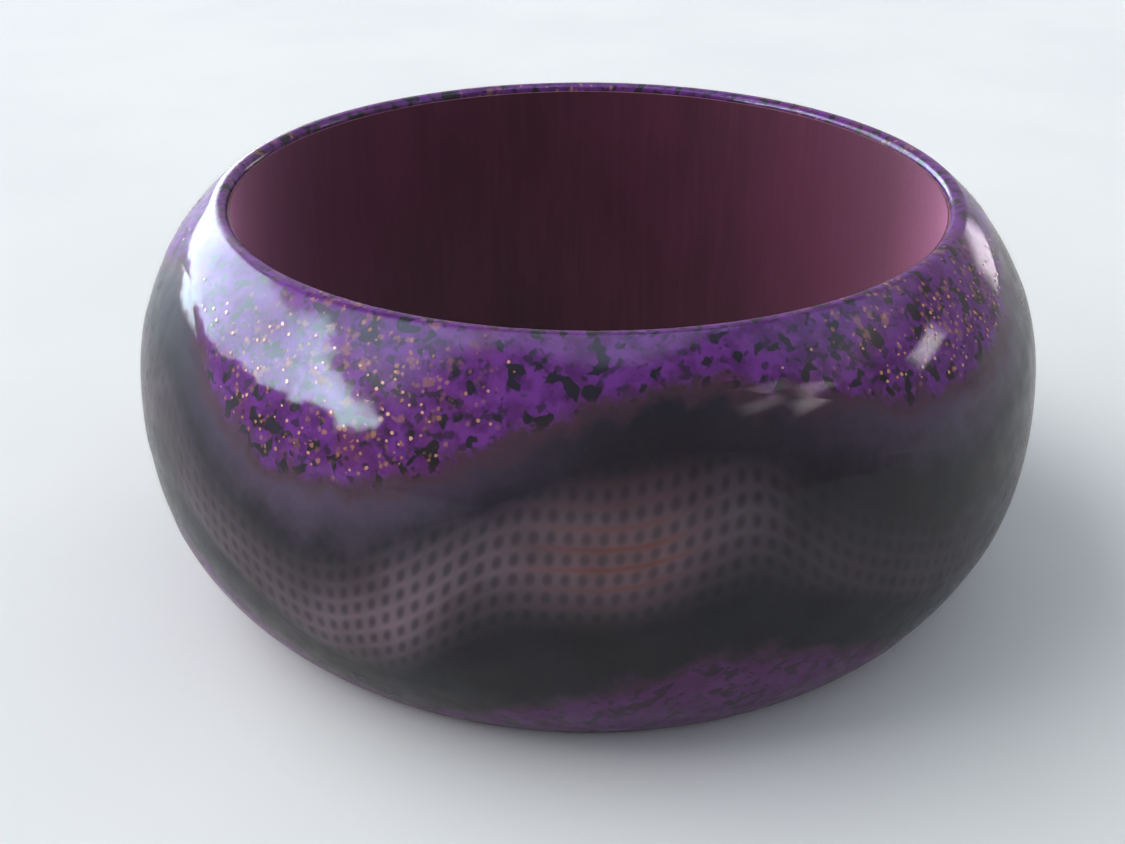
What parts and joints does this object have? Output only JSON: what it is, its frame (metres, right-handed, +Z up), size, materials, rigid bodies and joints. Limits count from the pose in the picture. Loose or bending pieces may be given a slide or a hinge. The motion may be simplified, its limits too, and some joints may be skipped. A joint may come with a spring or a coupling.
{
  "type": "bangle bracelet",
  "caption": "Wide domed bangle: a turned wooden ring with a straight painted bore, in wavy purple and graphite bands with a bronze net print and copper flakes under clear lacquer.",
  "frame": {"origin": "centre of the lower rim's resting plane, on the bore's axis", "axes": "+Z up along the bore's axis, -Y the front of the pattern; the upper purple band's deeper waves are at the +Z rim"},
  "size_m": [0.0846, 0.0846, 0.037],
  "materials": {
    "clear_lacquer": "clear, high-gloss lacquer",
    "wood_core": "turned and sanded, wholly covered",
    "bore_paint": "satin burgundy paint over the wood, its fine grain showing through",
    "graphite_ground": "graphite paint, matt under the lacquer",
    "purple_band": "sponged purple paint, the ground showing through between dabs",
    "net_print": "bronze paint printed through a net",
    "copper_flakes": "copper leaf flakes"
  },
  "bodies": {
    "root": {"clear_lacquer": "clear_lacquer", "wood_core": "wood_core", "bore_paint": "bore_paint", "graphite_ground": "graphite_ground", "upper_purple_band": "purple_band", "lower_purple_band": "purple_band", "net_print": "net_print", "copper_flakes": "copper_flakes"}
  },
  "joints": []
}
